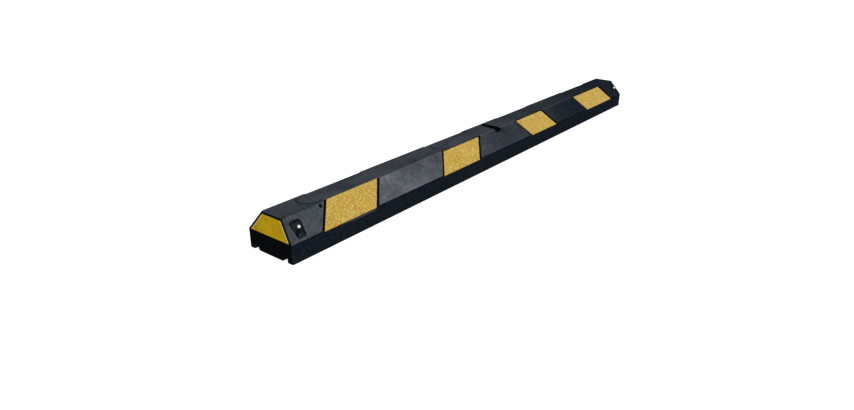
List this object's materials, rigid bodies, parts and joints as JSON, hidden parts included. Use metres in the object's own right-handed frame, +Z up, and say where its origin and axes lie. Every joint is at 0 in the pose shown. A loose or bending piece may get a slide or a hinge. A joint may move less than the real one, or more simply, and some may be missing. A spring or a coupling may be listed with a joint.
{
  "type": "wheel stop",
  "caption": "Long black rubber wheel stop with sloped sides, slanted yellow reflective tapes sunk in recesses, taped leaning ends and studded anchor pockets.",
  "frame": {"origin": "centre of the base, on the ground", "axes": "+X along the bar to its far end, -Y the front with the longer tape, +Z up"},
  "size_m": [1.78, 0.15, 0.1],
  "materials": {
    "rubber": "moulded black rubber, matt with a faint bloom",
    "bead_tape": "yellow tape with exposed glass beads, granular",
    "end_tape": "smooth deep yellow reflective film",
    "black_steel": "blackened steel, matt and dusty",
    "zinc_steel": "zinc plating, bright at the tip and dirty in the thread below"
  },
  "bodies": {
    "root": {"rubber_block": "rubber", "front_tape_1": "bead_tape", "front_tape_2": "bead_tape", "front_tape_3": "bead_tape", "front_tape_4": "bead_tape", "back_tape_1": "bead_tape", "back_tape_2": "bead_tape", "back_tape_3": "bead_tape", "back_tape_4": "bead_tape", "near_end_tape": "end_tape", "far_end_tape": "end_tape", "anchor_washers": "black_steel", "anchor_nuts": "black_steel", "anchor_studs": "zinc_steel"}
  },
  "joints": []
}
